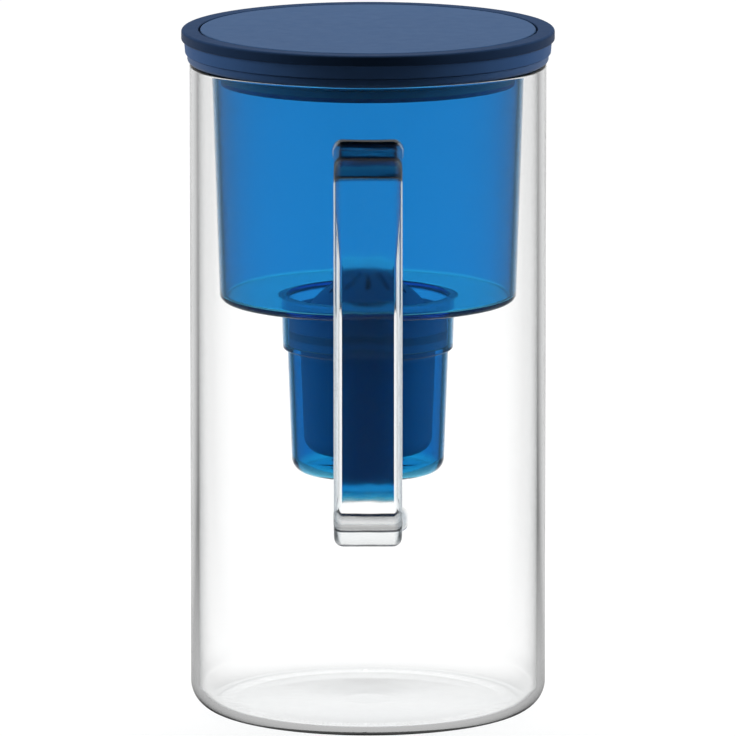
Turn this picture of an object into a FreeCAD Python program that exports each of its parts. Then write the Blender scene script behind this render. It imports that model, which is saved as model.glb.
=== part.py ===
"""Glass water filter pitcher: glass jug with a strap handle, hanging funnel, filter cartridge and lid.

Frame: the origin is the middle of the base on the table and +Z is up.
The handle is towards -Y and the pour side towards +Y.
"""
import FreeCAD, Part
import math
import os
import re
import Sketcher

# Driving sizes, in millimetres, degrees and counts
SIZES = {
    # Glass jug
    "glass_radius": 65.0,
    "glass_wall": 3.0,
    "glass_height": 239.0,
    "base_thickness": 3.0,
    "base_round": 10.0,
    "foot_width": 6.0,
    "foot_hollow_depth": 0.3,
    "foot_hollow_slope": 40.0,
    "rim_round": 1.2,
    # Glass handle
    "handle_width": 24.6,
    "handle_thickness": 8.0,
    "handle_edge_round": 3.5,
    "handle_drop": 19.3,
    "handle_length": 142.2,
    "handle_reach": 44.0,
    "upper_bend": 6.0,
    "lower_bend": 10.0,
    "upper_weld_width": 26.4,
    "upper_weld_height": 10.0,
    "lower_weld_width": 28.4,
    "lower_weld_height": 10.6,
    "lower_weld_shift": 1.2,
    "weld_length": 9.0,
    "weld_neck": 2.5,
    "weld_bite": 1.0,
    # Funnel: flange, bowl, collar and filter cup
    "flange_overhang": 0.8,
    "flange_thickness": 3.4,
    "flange_round": 1.5,
    "flange_top_round": 0.5,
    "funnel_gap": 5.0,
    "funnel_draw_in": 2.9,
    "funnel_depth": 87.2,
    "funnel_wall": 2.0,
    "funnel_corner": 2.4,
    "floor_thickness": 2.0,
    "collar_top_radius": 31.6,
    "collar_draw_in": 0.5,
    "collar_depth": 18.3,
    "collar_fillet": 1.5,
    "collar_step_round": 0.75,
    "cup_step": 1.7,
    "cup_draw_in": 1.7,
    "cup_depth": 45.6,
    "cup_wall": 1.8,
    "cup_corner": 5.0,
    "cup_slot_count": 8,
    "cup_slot_width": 2.4,
    "cup_slot_inner": 8.0,
    "cup_slot_margin": 8.9,
    "pour_gap_angle": 46.0,
    "pour_gap_inset": 0.2,
    # Lid
    "lid_overhang": 1.4,
    "lid_rim_height": 3.9,
    "lid_skirt_height": 4.8,
    "lid_skirt_overhang": 0.8,
    "lid_wall": 2.2,
    "lid_edge_round": 1.0,
    "lid_small_round": 0.5,
    "disc_border": 6.2,
    "disc_gap": 0.7,
    "disc_thickness": 2.2,
    "disc_edge_round": 0.5,
    "plug_clearance": 1.4,
    "plug_depth": 10.4,
    "plug_wall": 2.6,
    "gasket_groove": 0.9,
    "gasket_height": 5.4,
    "gasket_rise": 1.6,
    "gasket_lip": 0.8,
    "gasket_clearance": 0.3,
    # Filter cartridge
    "head_clearance": 0.4,
    "head_height": 13.2,
    "head_round": 1.2,
    "dome_shoulder": 2.9,
    "dome_height": 25.3,
    "head_wall": 1.8,
    "inlet_slot_count": 12,
    "inlet_slot_width": 1.8,
    "inlet_slot_inner": 6.5,
    "inlet_slot_margin": 6.0,
    "seal_groove": 0.9,
    "seal_height": 3.0,
    "seal_rise": 3.0,
    "seal_lip": 1.0,
    "seal_clearance": 0.3,
    "shell_fit": 0.1,
    "shell_clearance": 2.4,
    "shell_draw_in": 2.0,
    "shell_gap": 5.5,
    "shell_wall": 1.5,
    "shell_corner": 6.0,
    "outlet_slot_count": 8,
    "outlet_slot_width": 2.0,
    "outlet_slot_inner": 5.0,
    "outlet_slot_margin": 3.7,
    "screen_thickness": 0.6,
    "felt_thickness": 2.0,
    "resin_depth": 21.0,
    "bed_clearance": 0.1,
}

# Sizes worked out from the driving ones, so that each piece seats on its neighbour
FORMULAS = {
    "glass_bore": "glass_radius - glass_wall",
    "base_inner_round": "base_round - glass_wall",
    "foot_edge": "glass_radius - base_round - foot_width",
    "foot_hollow_radius": "foot_edge - foot_hollow_slope",
    "handle_up": "glass_height - handle_drop - handle_thickness / 2",
    "handle_down": "glass_height - handle_drop - handle_length + handle_thickness / 2",
    "handle_out": "glass_radius + handle_reach - handle_thickness / 2",
    "weld_side": "max(upper_weld_width / 2; lower_weld_width / 2 + lower_weld_shift)",
    "weld_plane": "sqrt(glass_radius ^ 2 - weld_side ^ 2) - weld_bite",
    "weld_neck_place": "glass_radius + weld_neck",
    "weld_end_place": "glass_radius + weld_length",
    "flange_radius": "glass_radius + flange_overhang",
    "flange_top": "glass_height + flange_thickness",
    "funnel_top_radius": "glass_bore - funnel_gap",
    "funnel_floor_radius": "funnel_top_radius - funnel_draw_in",
    "funnel_floor_height": "glass_height - funnel_depth",
    "funnel_bore": "funnel_top_radius - funnel_wall",
    "funnel_floor_bore": "funnel_floor_radius - funnel_wall",
    "funnel_inner_corner": "funnel_corner - funnel_wall / 2",
    "floor_top": "funnel_floor_height + floor_thickness",
    "collar_low_radius": "collar_top_radius - collar_draw_in",
    "collar_step": "funnel_floor_height - collar_depth",
    "cup_top_radius": "collar_low_radius - cup_step",
    "cup_low_radius": "cup_top_radius - cup_draw_in",
    "cup_bottom": "collar_step - cup_depth",
    "cup_floor": "cup_bottom + cup_wall",
    "cup_low_bore": "cup_low_radius - cup_wall",
    "cup_inner_corner": "cup_corner - cup_wall / 2",
    "cup_slot_outer": "cup_low_bore - cup_slot_margin",
    "seat_height": "collar_step + cup_wall",
    "seat_bore": "collar_low_radius - cup_wall",
    "lid_skirt_radius": "flange_radius + lid_skirt_overhang",
    "lid_radius": "lid_skirt_radius + lid_overhang",
    "lid_rim_low": "flange_top + lid_skirt_height",
    "lid_top": "lid_rim_low + lid_rim_height",
    "recess_radius": "lid_radius - disc_border",
    "recess_floor": "lid_top - disc_thickness",
    "lid_ceiling": "recess_floor - lid_wall",
    "plug_radius": "funnel_bore - plug_clearance",
    "plug_bottom": "flange_top - plug_depth",
    "gasket_low": "plug_bottom + gasket_rise",
    "gasket_top": "gasket_low + gasket_height",
    "bowl_taper": "funnel_draw_in / funnel_depth",
    "gasket_reach": "funnel_bore - (glass_height - gasket_low) * bowl_taper - gasket_clearance",
    "head_radius": "seat_bore - head_clearance",
    "head_top": "seat_height + head_height",
    "dome_radius": "head_radius - dome_shoulder",
    "dome_top": "seat_height + dome_height",
    "dome_centre": "dome_top - dome_radius",
    "dome_foot": "sqrt(dome_radius ^ 2 - (head_top - dome_centre) ^ 2)",
    "dome_bore": "dome_radius - head_wall",
    "head_ceiling": "head_top - head_wall",
    "dome_inner_foot": "sqrt(dome_bore ^ 2 - (head_ceiling - dome_centre) ^ 2)",
    "inlet_slot_outer": "dome_inner_foot - inlet_slot_margin",
    "shell_top_radius": "cup_top_radius - cup_wall - shell_clearance",
    "shell_low_radius": "shell_top_radius - shell_draw_in",
    "head_bore": "shell_top_radius + shell_fit",
    "seal_low": "seat_height + seal_rise",
    "seal_top": "seal_low + seal_height",
    "seal_reach": "seat_bore - seal_clearance",
    "shell_rim": "head_ceiling - screen_thickness",
    "shell_bottom": "cup_floor + shell_gap",
    "shell_floor": "shell_bottom + shell_wall",
    "shell_taper": "shell_draw_in / (shell_rim - shell_bottom)",
    "shell_inner_corner": "shell_corner - shell_wall",
    "outlet_screen_radius": "shell_low_radius - shell_corner",
    "outlet_slot_outer": "outlet_screen_radius - outlet_slot_margin",
    "resin_low": "shell_floor + screen_thickness",
    "resin_top": "resin_low + resin_depth",
    "felt_top": "resin_top + felt_thickness",
}

ALIASES = {**SIZES, **FORMULAS}
WORD = re.compile(r"\b[a-z_]+\b")

doc = FreeCAD.newDocument("FilterPitcher")
sheet = doc.addObject("Spreadsheet::Sheet", "Sizes")


def fill_sheet():
    """Write every driving size and every formula to the sheet, one row each, under its own alias."""
    for row, (name, value) in enumerate(ALIASES.items(), start=1):
        sheet.set(f"A{row}", name)
        sheet.set(f"B{row}", f"={value}" if name in FORMULAS else str(value))
        sheet.setAlias(f"B{row}", name)
    doc.recompute()


def linked(expression):
    """An expression in the sheet's aliases, as another object has to write it."""
    return WORD.sub(lambda word: f"Sizes.{word[0]}" if word[0] in ALIASES else word[0], expression)


def size(expression):
    """The number that an expression in the sheet's aliases gives now."""
    return float(sheet.evalExpression(linked(expression)))


def tie(thing, path, expression):
    """Bind a property of an object to an expression in the sheet's aliases."""
    thing.setExpression(path, linked(expression))


def new_body(label):
    """An empty body that is named as its node is."""
    body = doc.addObject("PartDesign::Body", label)
    body.Label = label
    return body


def origin_feature(body, role):
    """One of the body's own origin planes or axes."""
    return next(feature for feature in body.Origin.OriginFeatures if feature.Role == role)


def new_sketch(body, name, plane, offset=None):
    """A sketch on one of the body's origin planes, moved along the plane's normal by an expression."""
    sketch = body.newObject("Sketcher::SketchObject", f"{body.Name}_{name}")
    sketch.AttachmentSupport = [(origin_feature(body, plane), "")]
    sketch.MapMode = "FlatFace"
    if offset:
        tie(sketch, "AttachmentOffset.Base.z", offset)
    return sketch


def dimension(sketch, kind, places, expression):
    """Add a dimension to a sketch and bind it to an expression."""
    index = sketch.addConstraint(Sketcher.Constraint(kind, *places, size(expression)))
    sketch.renameConstraint(index, f"size_{index}")
    tie(sketch, f"Constraints.size_{index}", expression)


def relate(sketch, kind, *places):
    """Add a constraint that has no size."""
    sketch.addConstraint(Sketcher.Constraint(kind, *places))


# How a sketch numbers its axes, and the points of a line or an arc
ACROSS_AXIS, UP_AXIS = range(-1, -3, -1)
START, END, CENTRE = range(1, 4)
ORIGIN = (ACROSS_AXIS, START)
SAME_PLACE = 1e-4
FULL_TURN = 360


def place_point(sketch, point, across, up):
    """Hold a point of a sketch at two expressions, measured from the origin."""
    if across == "0":
        relate(sketch, "PointOnObject", *point, UP_AXIS)
    else:
        dimension(sketch, "DistanceX", (*ORIGIN, *point), across)
    if up == "0":
        relate(sketch, "PointOnObject", *point, ACROSS_AXIS)
    else:
        dimension(sketch, "DistanceY", (*ORIGIN, *point), up)


def arc(across, up, radius, start, turn):
    """A flat arc about a centre, from a start angle through a turn."""
    circle = Part.Circle(FreeCAD.Vector(across, up, 0), FreeCAD.Vector(0, 0, 1), radius)
    return Part.ArcOfCircle(circle, start, start + turn)


def line(first, second):
    """A flat line between two places of two numbers each."""
    return Part.LineSegment(FreeCAD.Vector(*first, 0), FreeCAD.Vector(*second, 0))


def axis_arc(first, second):
    """An arc about a point on the up axis between two points, and whether it starts at the first."""
    middle = (second.x ** 2 + second.y ** 2 - first.x ** 2 - first.y ** 2) / (2 * (second.y - first.y))
    radius = math.hypot(first.x, first.y - middle)
    start, end = (math.atan2(point.y - middle, point.x) for point in (first, second))
    return arc(0, middle, radius, min(start, end), abs(end - start)), start < end


def draw_outline(sketch, corners):
    """Draw a closed outline through corners of two expressions, across and up.

    A corner with the third entry "dome" is left along an arc about the axis, and any other along a line.
    """
    points = [FreeCAD.Vector(size(corner[0]), size(corner[1]), 0) for corner in corners]
    ends = []
    for index, corner in enumerate(corners):
        first, second = points[index], points[(index + 1) % len(points)]
        if corner[2:] == ("dome",):
            curve, forward = axis_arc(first, second)
            segment = sketch.addGeometry(curve, False)
            relate(sketch, "PointOnObject", segment, CENTRE, UP_AXIS)
        else:
            forward = True
            segment = sketch.addGeometry(Part.LineSegment(first, second), False)
        pair = ((segment, START), (segment, END))
        ends.append(pair if forward else pair[::-1])
    for index, (begin, _) in enumerate(ends):
        relate(sketch, "Coincident", *ends[index - 1][1], *begin)
    for (begin, _), corner in zip(ends, corners):
        place_point(sketch, begin, corner[0], corner[1])


def draw_slot(sketch, inner, outer, width):
    """Draw a round-ended slot that runs outwards along X."""
    near, far, half = size(inner), size(outer), size(width) / 2
    near_arc, far_arc, low, high = sketch.addGeometry([
        arc(near, 0, half, math.pi / 2, math.pi),
        arc(far, 0, half, -math.pi / 2, math.pi),
        line((near, -half), (far, -half)),
        line((far, half), (near, half)),
    ], False)
    for one, two in (((near_arc, END), (low, START)), ((low, END), (far_arc, START)),
                     ((far_arc, END), (high, START)), ((high, END), (near_arc, START))):
        relate(sketch, "Tangent", *one, *two)
    relate(sketch, "Equal", near_arc, far_arc)
    place_point(sketch, (near_arc, CENTRE), inner, "0")
    place_point(sketch, (far_arc, CENTRE), outer, "0")
    dimension(sketch, "Radius", (near_arc,), f"{width} / 2")


def draw_pad(sketch, width, height, corner, middle, shift="0"):
    """Draw a rectangle with round corners, centred at the height middle and a shift from the up axis."""
    turn = size(corner)
    right, left = size(f"{shift} + {width} / 2") - turn, size(f"{shift} - {width} / 2") + turn
    low, high = size(f"{middle} - {height} / 2") + turn, size(f"{middle} + {height} / 2") - turn
    centres = ((right, low), (right, high), (left, high), (left, low))
    bends = [arc(across, up, turn, (index - 1) * math.pi / 2, math.pi / 2)
             for index, (across, up) in enumerate(centres)]
    sides = [Part.LineSegment(bend.EndPoint, after.StartPoint)
             for bend, after in zip(bends, bends[1:] + bends[:1])]
    corners = sketch.addGeometry(bends, False)
    edges = sketch.addGeometry(sides, False)
    for edge, bend, after in zip(edges, corners, corners[1:] + corners[:1]):
        relate(sketch, "Tangent", bend, END, edge, START)
        relate(sketch, "Tangent", edge, END, after, START)
    for bend in corners[1:]:
        relate(sketch, "Equal", corners[0], bend)
    right, top, left, bottom = edges
    for edge in (right, left):
        relate(sketch, "Vertical", edge)
    for edge in (top, bottom):
        relate(sketch, "Horizontal", edge)
    dimension(sketch, "Radius", (corners[0],), corner)
    dimension(sketch, "DistanceX", (*ORIGIN, right, START), f"{width} / 2 + {shift}")
    dimension(sketch, "DistanceX", (left, START, *ORIGIN), f"{width} / 2 - {shift}")
    dimension(sketch, "DistanceY", (*ORIGIN, bottom, START), f"{middle} - {height} / 2")
    dimension(sketch, "DistanceY", (*ORIGIN, top, START), f"{middle} + {height} / 2")


def draw_sector(sketch, inner, outer, angle):
    """Draw a ring's sector that faces +Y, with straight radial sides."""
    near, far, half = size(inner), size(outer), math.radians(size(angle)) / 2
    bends = [arc(0, 0, radius, math.pi / 2 - half, 2 * half) for radius in (near, far)]
    sides = [Part.LineSegment(bends[0].StartPoint, bends[1].StartPoint),
             Part.LineSegment(bends[0].EndPoint, bends[1].EndPoint)]
    near_arc, far_arc, right, left = sketch.addGeometry(bends + sides, False)
    for bend, expression in ((near_arc, inner), (far_arc, outer)):
        relate(sketch, "Coincident", bend, CENTRE, *ORIGIN)
        dimension(sketch, "Radius", (bend,), expression)
    for side, end in ((right, START), (left, END)):
        relate(sketch, "Coincident", near_arc, end, side, START)
        relate(sketch, "Coincident", far_arc, end, side, END)
        relate(sketch, "PointOnObject", *ORIGIN, side)
    relate(sketch, "Symmetric", near_arc, START, near_arc, END, UP_AXIS)
    index = sketch.addConstraint(Sketcher.Constraint("Angle", right, START, left, START, 2 * half))
    sketch.renameConstraint(index, "opening")
    tie(sketch, "Constraints.opening", f"{angle} * 1 deg")


def revolve(body, corners):
    """Turn a closed outline about the up axis."""
    sketch = new_sketch(body, "Outline", "XZ_Plane")
    draw_outline(sketch, corners)
    turned = body.newObject("PartDesign::Revolution", f"{body.Name}_Turned")
    turned.Profile = sketch
    turned.ReferenceAxis = (sketch, ["V_Axis"])
    doc.recompute()


def is_ring(edge, radius, height):
    """True for a circular edge about the up axis with this radius, at this height."""
    if edge.Degenerated or not isinstance(edge.Curve, Part.Circle):
        return False
    centre = edge.Curve.Center
    near = (centre.x, centre.y, centre.z - height, edge.Curve.Radius - radius)
    return all(abs(miss) < SAME_PLACE for miss in near)


def round_rings(body, radius, *rings):
    """Round circular edges, each given by two expressions, its radius and its height."""
    base = body.Tip
    names = [f"Edge{number}"
             for across, up in rings
             for number, edge in enumerate(base.Shape.Edges, start=1)
             if is_ring(edge, size(across), size(up))]
    if len(names) < len(rings):
        raise RuntimeError(f"{body.Label}: an edge to round is missing")
    fillet = body.newObject("PartDesign::Fillet", f"{body.Name}_Round")
    fillet.Base = (base, names)
    tie(fillet, "Radius", radius)
    doc.recompute()


def cut_through(body, sketch):
    """Cut a sketch through the whole body, both ways, and make sure that it took something away."""
    before = body.Tip.Shape.Volume
    pocket = body.newObject("PartDesign::Pocket", f"{sketch.Name}_Cut")
    pocket.Profile = sketch
    pocket.Type = "ThroughAll"
    pocket.SideType = "Symmetric"
    doc.recompute()
    if pocket.Shape.Volume >= before:
        raise RuntimeError(f"{body.Label}: a cut takes nothing away")
    return pocket


def repeat_round(body, feature, count):
    """Repeat a feature evenly about the up axis."""
    pattern = body.newObject("PartDesign::PolarPattern", f"{feature.Name}_Round")
    pattern.Originals = [feature]
    pattern.Axis = (origin_feature(body, "Z_Axis"), [""])
    pattern.Angle = FULL_TURN
    tie(pattern, "Occurrences", count)
    body.Tip = pattern
    doc.recompute()


def cut_slots(body, kind):
    """Cut a ring of slots whose sizes start with the given word."""
    sketch = new_sketch(body, "Slot", "XY_Plane")
    draw_slot(sketch, f"{kind}_inner", f"{kind}_outer", f"{kind}_width")
    repeat_round(body, cut_through(body, sketch), f"{kind}_count")


def make_glass_jug():
    """The glass cylinder: round base with a hollow foot, and a fire-polished rim."""
    body = new_body("glass_jug")
    revolve(body, [
        ("0", "foot_hollow_depth"),
        ("foot_hollow_radius", "foot_hollow_depth"),
        ("foot_edge", "0"),
        ("glass_radius", "0"),
        ("glass_radius", "glass_height"),
        ("glass_bore", "glass_height"),
        ("glass_bore", "base_thickness"),
        ("0", "base_thickness"),
    ])
    round_rings(body, "base_round", ("glass_radius", "0"))
    round_rings(body, "base_inner_round", ("glass_bore", "base_thickness"))
    round_rings(body, "rim_round", ("glass_radius", "glass_height"), ("glass_bore", "glass_height"))
    return body


def draw_handle_path(sketch):
    """The strap's middle line: out from the glass, down with two bends, and back to the glass."""
    inside, outside = size("weld_plane"), size("handle_out")
    up, down = size("handle_up"), size("handle_down")
    high, low = size("upper_bend"), size("lower_bend")
    upper, high_bend, strap, low_bend, lower = sketch.addGeometry([
        line((-inside, up), (high - outside, up)),
        arc(high - outside, up - high, high, math.pi / 2, math.pi / 2),
        line((-outside, up - high), (-outside, down + low)),
        arc(low - outside, down + low, low, math.pi, math.pi / 2),
        line((low - outside, down), (-inside, down)),
    ], False)
    for one, two in (((upper, END), (high_bend, START)), ((high_bend, END), (strap, START)),
                     ((strap, END), (low_bend, START)), ((low_bend, END), (lower, START))):
        relate(sketch, "Tangent", *one, *two)
    relate(sketch, "Vertical", strap)
    relate(sketch, "Horizontal", upper)
    relate(sketch, "Horizontal", lower)
    dimension(sketch, "Radius", (high_bend,), "upper_bend")
    dimension(sketch, "Radius", (low_bend,), "lower_bend")
    dimension(sketch, "DistanceX", (strap, START, *ORIGIN), "handle_out")
    for point, height in (((upper, START), "handle_up"), ((lower, END), "handle_down")):
        dimension(sketch, "DistanceX", (*point, *ORIGIN), "weld_plane")
        dimension(sketch, "DistanceY", (*ORIGIN, *point), height)


def add_weld(body, kind, middle, shift):
    """Flare one end of the strap to the wider pad that is melted on to the glass."""
    sections = []
    for place, width, height, aside in (
            ("weld_plane", f"{kind}_width", f"{kind}_height", shift),
            ("weld_neck_place", f"(handle_width * 2 + {kind}_width) / 3",
             f"(handle_thickness * 2 + {kind}_height) / 3", f"{shift} / 3"),
            ("weld_end_place", "handle_width", "handle_thickness", "0")):
        sketch = new_sketch(body, f"{kind}_section_{len(sections)}", "XZ_Plane", place)
        draw_pad(sketch, width, height, "handle_edge_round", middle, aside)
        sections.append(sketch)
    loft = body.newObject("PartDesign::AdditiveLoft", f"{body.Name}_{kind}")
    loft.Profile = sections[0]
    loft.Sections = sections[1:]
    doc.recompute()


def make_glass_handle():
    """The handle: a swept strap with round edges and a flared weld at each end, fitted to the glass."""
    body = new_body("glass_handle")
    path = new_sketch(body, "Path", "YZ_Plane")
    draw_handle_path(path)
    section = new_sketch(body, "Section", "XZ_Plane", "weld_plane")
    draw_pad(section, "handle_width", "handle_thickness", "handle_edge_round", "handle_up")
    doc.recompute()
    strap = body.newObject("PartDesign::AdditivePipe", "glass_handle_Strap")
    strap.Profile = section
    strap.Spine = (path, [f"Edge{number}" for number in range(1, len(path.Shape.Edges) + 1)])
    doc.recompute()
    add_weld(body, "upper_weld", "handle_up", "0")
    add_weld(body, "lower_weld", "handle_down", "lower_weld_shift")
    fit = new_sketch(body, "GlassFit", "XY_Plane")
    round_glass = Part.Circle(FreeCAD.Vector(0, 0, 0), FreeCAD.Vector(0, 0, 1), size("glass_radius"))
    circle = fit.addGeometry(round_glass, False)
    relate(fit, "Coincident", circle, CENTRE, *ORIGIN)
    dimension(fit, "Radius", (circle,), "glass_radius")
    cut_through(body, fit)
    return body


def make_funnel():
    """The funnel: flange on the rim, tapered bowl, collar and slotted filter cup, with a pour gap."""
    body = new_body("funnel")
    revolve(body, [
        ("funnel_bore", "flange_top"),
        ("flange_radius", "flange_top"),
        ("flange_radius", "glass_height"),
        ("funnel_top_radius", "glass_height"),
        ("funnel_floor_radius", "funnel_floor_height"),
        ("collar_top_radius", "funnel_floor_height"),
        ("collar_low_radius", "collar_step"),
        ("cup_top_radius", "collar_step"),
        ("cup_low_radius", "cup_bottom"),
        ("0", "cup_bottom"),
        ("0", "cup_floor"),
        ("cup_low_bore", "cup_floor"),
        ("cup_top_radius - cup_wall", "seat_height"),
        ("seat_bore", "seat_height"),
        ("collar_top_radius - cup_wall", "floor_top"),
        ("funnel_floor_bore", "floor_top"),
        ("funnel_bore", "glass_height"),
    ])
    round_rings(body, "flange_round", ("flange_radius", "glass_height"))
    round_rings(body, "flange_top_round", ("flange_radius", "flange_top"), ("funnel_bore", "flange_top"))
    round_rings(body, "funnel_corner", ("funnel_floor_radius", "funnel_floor_height"))
    round_rings(body, "funnel_inner_corner", ("funnel_floor_bore", "floor_top"))
    round_rings(body, "collar_fillet", ("collar_top_radius", "funnel_floor_height"))
    round_rings(body, "collar_step_round", ("collar_low_radius", "collar_step"))
    round_rings(body, "cup_corner", ("cup_low_radius", "cup_bottom"))
    round_rings(body, "cup_inner_corner", ("cup_low_bore", "cup_floor"))
    gap = new_sketch(body, "PourGap", "XY_Plane")
    draw_sector(gap, "funnel_top_radius + pour_gap_inset", "lid_radius", "pour_gap_angle")
    cut_through(body, gap)
    cut_slots(body, "cup_slot")
    return body


def make_lid_body():
    """The lid: rim band, sloping skirt on the funnel's flange, recess for the disc, and grooved plug."""
    body = new_body("lid_body")
    revolve(body, [
        ("0", "recess_floor"),
        ("recess_radius", "recess_floor"),
        ("recess_radius", "lid_top"),
        ("lid_radius", "lid_top"),
        ("lid_radius", "lid_rim_low"),
        ("lid_skirt_radius", "flange_top"),
        ("lid_skirt_radius - lid_wall", "flange_top"),
        ("lid_skirt_radius - lid_wall", "lid_ceiling"),
        ("plug_radius", "lid_ceiling"),
        ("plug_radius", "gasket_top"),
        ("plug_radius - gasket_groove", "gasket_top"),
        ("plug_radius - gasket_groove", "gasket_low"),
        ("plug_radius", "gasket_low"),
        ("plug_radius", "plug_bottom"),
        ("plug_radius - plug_wall", "plug_bottom"),
        ("plug_radius - plug_wall", "lid_ceiling"),
        ("0", "lid_ceiling"),
    ])
    round_rings(body, "lid_edge_round", ("lid_radius", "lid_top"))
    round_rings(body, "lid_small_round", ("lid_radius", "lid_rim_low"), ("recess_radius", "lid_top"),
                ("plug_radius", "plug_bottom"))
    return body


def make_lid_top_disc():
    """The flat disc let into the top of the lid, with a thin groove left round it."""
    body = new_body("lid_top_disc")
    revolve(body, [
        ("0", "recess_floor"),
        ("recess_radius - disc_gap", "recess_floor"),
        ("recess_radius - disc_gap", "lid_top"),
        ("0", "lid_top"),
    ])
    round_rings(body, "disc_edge_round", ("recess_radius - disc_gap", "lid_top"))
    return body


def make_lid_gasket():
    """The soft ring in the plug's groove, with two lips that reach for the funnel's bore."""
    body = new_body("lid_gasket")
    revolve(body, [
        ("plug_radius - gasket_groove", "gasket_low"),
        ("plug_radius", "gasket_low"),
        ("gasket_reach", "gasket_low + gasket_height / 2 - gasket_lip"),
        ("gasket_reach", "gasket_low + gasket_height / 2"),
        ("plug_radius", "gasket_low + gasket_height / 2"),
        ("gasket_reach", "gasket_top - gasket_lip"),
        ("gasket_reach", "gasket_top"),
        ("plug_radius - gasket_groove", "gasket_top"),
    ])
    return body


def make_cartridge_head():
    """The cartridge's head: seat ring with a seal groove, and a slotted dome."""
    body = new_body("cartridge_head")
    revolve(body, [
        ("head_radius", "head_top"),
        ("dome_foot", "head_top", "dome"),
        ("0", "dome_top"),
        ("0", "dome_top - head_wall", "dome"),
        ("dome_inner_foot", "head_ceiling"),
        ("head_bore", "head_ceiling"),
        ("head_bore", "seat_height"),
        ("head_radius", "seat_height"),
        ("head_radius", "seal_low"),
        ("head_radius - seal_groove", "seal_low"),
        ("head_radius - seal_groove", "seal_top"),
        ("head_radius", "seal_top"),
    ])
    round_rings(body, "head_round", ("head_radius", "head_top"))
    cut_slots(body, "inlet_slot")
    return body


def make_cartridge_seal():
    """The soft ring round the head's seat ring, with a lip that reaches for the collar."""
    body = new_body("cartridge_seal")
    revolve(body, [
        ("head_radius - seal_groove", "seal_low"),
        ("head_radius", "seal_low"),
        ("seal_reach", "seal_top - seal_lip"),
        ("seal_reach", "seal_top"),
        ("head_radius - seal_groove", "seal_top"),
    ])
    return body


def make_cartridge_shell():
    """The cartridge's tapered cup, which plugs into the head, with outlet slots in its floor."""
    body = new_body("cartridge_shell")
    revolve(body, [
        ("shell_top_radius", "shell_rim"),
        ("shell_top_radius - shell_wall", "shell_rim"),
        ("shell_low_radius - shell_wall", "shell_floor"),
        ("0", "shell_floor"),
        ("0", "shell_bottom"),
        ("shell_low_radius", "shell_bottom"),
    ])
    round_rings(body, "shell_corner", ("shell_low_radius", "shell_bottom"))
    round_rings(body, "shell_inner_corner", ("shell_low_radius - shell_wall", "shell_floor"))
    cut_slots(body, "outlet_slot")
    return body


def make_disc(label, radius, low, high):
    """A plain round sheet, such as a screen."""
    body = new_body(label)
    revolve(body, [("0", low), (radius, low), (radius, high), ("0", high)])
    return body


def shell_bore(height):
    """The radius of what lies in the shell at a height, as an expression."""
    return f"shell_low_radius - shell_wall - bed_clearance + ({height} - shell_floor) * shell_taper"


def make_layer(label, low, high):
    """A layer of the filter bed, as wide as the shell at its lower and upper faces."""
    body = new_body(label)
    revolve(body, [("0", low), (shell_bore(low), low), (shell_bore(high), high), ("0", high)])
    return body


def make_resin_bed():
    """The resin, which fills the bottom of the shell above the outlet screen."""
    body = make_layer("resin_bed", "resin_low", "resin_top")
    round_rings(body, "shell_inner_corner", (shell_bore("resin_low"), "resin_low"))
    return body


def check_document(bodies):
    """Stop if anything failed, or if a piece isn't one whole solid."""
    doc.recompute()
    failed = [thing.Label for thing in doc.Objects if {"Invalid", "Error"} & set(thing.State)]
    for body in bodies:
        shape = body.Shape
        if shape.isNull() or not shape.isValid() or len(shape.Solids) != 1:
            failed.append(body.Label)
    if failed:
        raise RuntimeError("these failed: " + ", ".join(failed))


def main():
    """Build every piece, check it and write it to its own file."""
    fill_sheet()
    bodies = [
        make_glass_jug(),
        make_glass_handle(),
        make_funnel(),
        make_lid_body(),
        make_lid_top_disc(),
        make_lid_gasket(),
        make_cartridge_head(),
        make_cartridge_seal(),
        make_cartridge_shell(),
        make_disc("inlet_screen", "shell_top_radius", "shell_rim", "head_ceiling"),
        make_layer("carbon_bed", "felt_top", "shell_rim"),
        make_layer("divider_felt", "resin_top", "felt_top"),
        make_resin_bed(),
        make_disc("outlet_screen", "outlet_screen_radius", "shell_floor", "resin_low"),
    ]
    check_document(bodies)
    os.makedirs("parts", exist_ok=True)
    for body in bodies:
        body.Shape.exportStep(f"parts/{body.Label}.step")
        print(f"{body.Label}: {body.Shape.Volume:.0f} mm3")


main()
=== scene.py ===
"""Looks of a glass water filter pitcher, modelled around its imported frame.

Lengths are metres on the frame's own axes: +Z is up, the handle is towards -Y and the pour side towards +Y.
"""
import functools
import logging
import math
from abc import ABC, abstractmethod
from dataclasses import dataclass
from enum import Enum
from typing import Callable, Sequence

import bmesh
import bpy
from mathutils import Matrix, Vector

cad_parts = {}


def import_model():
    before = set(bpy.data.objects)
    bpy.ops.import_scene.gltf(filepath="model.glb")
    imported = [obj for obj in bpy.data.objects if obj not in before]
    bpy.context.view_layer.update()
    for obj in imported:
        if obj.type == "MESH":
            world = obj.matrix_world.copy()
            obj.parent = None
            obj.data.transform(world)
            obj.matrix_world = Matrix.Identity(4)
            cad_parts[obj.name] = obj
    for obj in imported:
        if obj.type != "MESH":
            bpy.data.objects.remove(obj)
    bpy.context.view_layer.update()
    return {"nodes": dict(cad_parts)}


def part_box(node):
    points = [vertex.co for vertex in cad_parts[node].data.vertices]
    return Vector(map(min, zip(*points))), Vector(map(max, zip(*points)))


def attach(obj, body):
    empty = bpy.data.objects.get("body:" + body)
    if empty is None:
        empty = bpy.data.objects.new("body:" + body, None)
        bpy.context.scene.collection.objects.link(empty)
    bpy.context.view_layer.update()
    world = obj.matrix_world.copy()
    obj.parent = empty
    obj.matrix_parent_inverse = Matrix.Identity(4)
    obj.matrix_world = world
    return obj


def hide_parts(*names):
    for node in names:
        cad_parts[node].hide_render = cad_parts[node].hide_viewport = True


MM = 0.001
FULL_TURN = 2 * math.pi
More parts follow.
